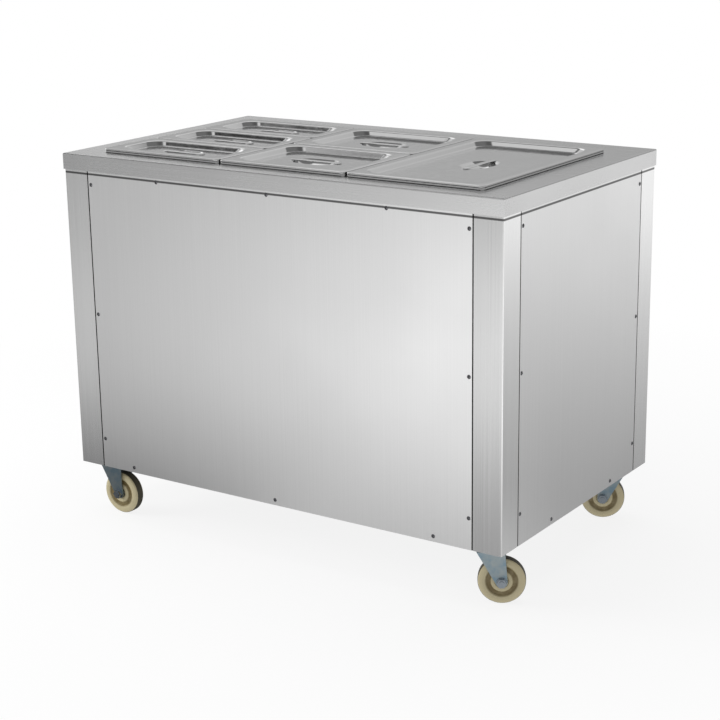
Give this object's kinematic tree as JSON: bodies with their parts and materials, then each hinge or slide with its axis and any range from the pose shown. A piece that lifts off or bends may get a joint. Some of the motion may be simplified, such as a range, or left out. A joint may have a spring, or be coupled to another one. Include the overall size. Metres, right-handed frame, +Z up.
{
  "type": "mobile bain marie",
  "caption": "Wheeled stainless bain marie with lidded gastronorm pans over a heated water well, a control panel, a cupboard with sliding doors and swivel castors.",
  "frame": {"origin": "on the floor, under the centre of the object's box and of the worktop", "axes": "+X along the worktop, towards the full-size pan; +Y towards the operator's side; +Z up"},
  "size_m": [1.1546, 0.68, 0.8636],
  "materials": {
    "worktop_steel": "stainless, brushed along the length",
    "panel_steel": "stainless, fine vertical brushing",
    "lid_steel": "stainless, satin to bright",
    "pan_steel": "stainless, satin to bright",
    "handle_steel": "stainless, polished strap",
    "tank_steel": "stainless, dull",
    "frame_steel": "stainless section, mill finish",
    "track_aluminium": "satin anodised",
    "screw_steel": "bright domed",
    "castor_zinc": "bright zinc plate, blue-grey",
    "wheel_nylon": "cream polyamide, semi-matt",
    "black_plastic": "fine-textured black",
    "knob_plastic": "black thermoset",
    "rocker_plastic": "red, smooth",
    "amber_lens": "amber, clear",
    "valve_chrome": "plated brass",
    "lever_paint": "red coating"
  },
  "bodies": {
    "cabinet": {"worktop": "worktop_steel", "tank_base": "tank_steel", "tank_sides": "tank_steel", "tank_ends": "tank_steel", "tank_casing": "tank_steel", "long_bars": "tank_steel", "cross_bars": "tank_steel", "post_front_left": "panel_steel", "post_front_right": "panel_steel", "post_rear_left": "panel_steel", "post_rear_right": "panel_steel", "top_frame": "frame_steel", "base_frame": "frame_steel", "front_panel": "panel_steel", "left_panel": "panel_steel", "right_panel": "panel_steel", "control_panel": "panel_steel", "cupboard_floor": "panel_steel", "cupboard_shelf": "panel_steel", "door_tracks": "track_aluminium", "thermostat_body": "black_plastic", "power_switch": "black_plastic", "indicator_lamp": "amber_lens", "heating_element": "tank_steel", "drain_valve": "valve_chrome", "cable_gland": "black_plastic", "panel_screws": "screw_steel", "castor_plates": "castor_zinc", "castor_bolts": "screw_steel"},
    "third_pan_front": {"pan_third_front": "pan_steel"},
    "third_lid_front": {"lid_third_front": "lid_steel", "handle_third_front": "handle_steel"},
    "third_pan_middle": {"pan_third_middle": "pan_steel"},
    "third_lid_middle": {"lid_third_middle": "lid_steel", "handle_third_middle": "handle_steel"},
    "third_pan_rear": {"pan_third_rear": "pan_steel"},
    "third_lid_rear": {"lid_third_rear": "lid_steel", "handle_third_rear": "handle_steel"},
    "half_pan_front": {"pan_half_front": "pan_steel"},
    "half_lid_front": {"lid_half_front": "lid_steel", "handle_half_front": "handle_steel"},
    "half_pan_rear": {"pan_half_rear": "pan_steel"},
    "half_lid_rear": {"lid_half_rear": "lid_steel", "handle_half_rear": "handle_steel"},
    "full_pan": {"pan_full": "pan_steel"},
    "full_lid": {"lid_full": "lid_steel", "handle_full": "handle_steel"},
    "left_door": {"door_left": "panel_steel"},
    "right_door": {"door_right": "panel_steel"},
    "knob": {"thermostat_knob": "knob_plastic"},
    "rocker": {"power_rocker": "rocker_plastic"},
    "drain_handle": {"drain_lever": "lever_paint"},
    "fork_front_left": {"castor_fork_front_left": "castor_zinc"},
    "wheel_front_left": {"castor_wheel_front_left": "wheel_nylon"},
    "fork_front_right": {"castor_fork_front_right": "castor_zinc"},
    "wheel_front_right": {"castor_wheel_front_right": "wheel_nylon"},
    "fork_rear_left": {"castor_fork_rear_left": "castor_zinc"},
    "wheel_rear_left": {"castor_wheel_rear_left": "wheel_nylon"},
    "fork_rear_right": {"castor_fork_rear_right": "castor_zinc"},
    "wheel_rear_right": {"castor_wheel_rear_right": "wheel_nylon"}
  },
  "joints": [
    {"name": "third_pan_front_lift", "type": "slide", "parent": "cabinet", "child": "third_pan_front", "axis": [0, 0, 1], "range_m": [0, 0.25]},
    {"name": "third_lid_front_lift", "type": "slide", "parent": "third_pan_front", "child": "third_lid_front", "axis": [0, 0, 1], "range_m": [0, 0.15]},
    {"name": "third_pan_middle_lift", "type": "slide", "parent": "cabinet", "child": "third_pan_middle", "axis": [0, 0, 1], "range_m": [0, 0.25]},
    {"name": "third_lid_middle_lift", "type": "slide", "parent": "third_pan_middle", "child": "third_lid_middle", "axis": [0, 0, 1], "range_m": [0, 0.15]},
    {"name": "third_pan_rear_lift", "type": "slide", "parent": "cabinet", "child": "third_pan_rear", "axis": [0, 0, 1], "range_m": [0, 0.25]},
    {"name": "third_lid_rear_lift", "type": "slide", "parent": "third_pan_rear", "child": "third_lid_rear", "axis": [0, 0, 1], "range_m": [0, 0.15]},
    {"name": "half_pan_front_lift", "type": "slide", "parent": "cabinet", "child": "half_pan_front", "axis": [0, 0, 1], "range_m": [0, 0.25]},
    {"name": "half_lid_front_lift", "type": "slide", "parent": "half_pan_front", "child": "half_lid_front", "axis": [0, 0, 1], "range_m": [0, 0.15]},
    {"name": "half_pan_rear_lift", "type": "slide", "parent": "cabinet", "child": "half_pan_rear", "axis": [0, 0, 1], "range_m": [0, 0.25]},
    {"name": "half_lid_rear_lift", "type": "slide", "parent": "half_pan_rear", "child": "half_lid_rear", "axis": [0, 0, 1], "range_m": [0, 0.15]},
    {"name": "full_pan_lift", "type": "slide", "parent": "cabinet", "child": "full_pan", "axis": [0, 0, 1], "range_m": [0, 0.25]},
    {"name": "full_lid_lift", "type": "slide", "parent": "full_pan", "child": "full_lid", "axis": [0, 0, 1], "range_m": [0, 0.15]},
    {"name": "left_door_slide", "type": "slide", "parent": "cabinet", "child": "left_door", "axis": [1, 0, 0], "range_m": [0, 0.466]},
    {"name": "right_door_slide", "type": "slide", "parent": "cabinet", "child": "right_door", "axis": [-1, 0, 0], "range_m": [0, 0.466]},
    {"name": "thermostat_turn", "type": "hinge", "parent": "cabinet", "child": "knob", "pos_m": [-0.3, 0.309, 0.75675], "axis": [0, -1, 0], "range_deg": [0, 270]},
    {"name": "rocker_tilt", "type": "hinge", "parent": "cabinet", "child": "rocker", "pos_m": [-0.39, 0.31, 0.75675], "axis": [-1, 0, 0], "range_deg": [0, 14]},
    {"name": "drain_turn", "type": "hinge", "parent": "cabinet", "child": "drain_handle", "pos_m": [0.38, 0.166, 0.5844], "axis": [0, 1, 0], "range_deg": [0, 90]},
    {"name": "swivel_front_left", "type": "hinge", "parent": "cabinet", "child": "fork_front_left", "pos_m": [-0.508, -0.286, 0.115], "axis": [0, 0, 1], "continuous": true},
    {"name": "roll_front_left", "type": "hinge", "parent": "fork_front_left", "child": "wheel_front_left", "pos_m": [-0.484, -0.286, 0.05], "axis": [0, 1, 0], "continuous": true},
    {"name": "swivel_front_right", "type": "hinge", "parent": "cabinet", "child": "fork_front_right", "pos_m": [0.508, -0.286, 0.115], "axis": [0, 0, 1], "continuous": true},
    {"name": "roll_front_right", "type": "hinge", "parent": "fork_front_right", "child": "wheel_front_right", "pos_m": [0.52899, -0.27436, 0.05], "axis": [-0.4848, 0.8746, 0], "continuous": true},
    {"name": "swivel_rear_left", "type": "hinge", "parent": "cabinet", "child": "fork_rear_left", "pos_m": [-0.508, 0.286, 0.115], "axis": [0, 0, 1], "continuous": true},
    {"name": "roll_rear_left", "type": "hinge", "parent": "fork_rear_left", "child": "wheel_rear_left", "pos_m": [-0.52899, 0.27436, 0.05], "axis": [0.4848, -0.8746, 0], "continuous": true},
    {"name": "swivel_rear_right", "type": "hinge", "parent": "cabinet", "child": "fork_rear_right", "pos_m": [0.508, 0.286, 0.115], "axis": [0, 0, 1], "continuous": true},
    {"name": "roll_rear_right", "type": "hinge", "parent": "fork_rear_right", "child": "wheel_rear_right", "pos_m": [0.48639, 0.27555, 0.05], "axis": [0.4352, -0.9003, 0], "continuous": true}
  ]
}
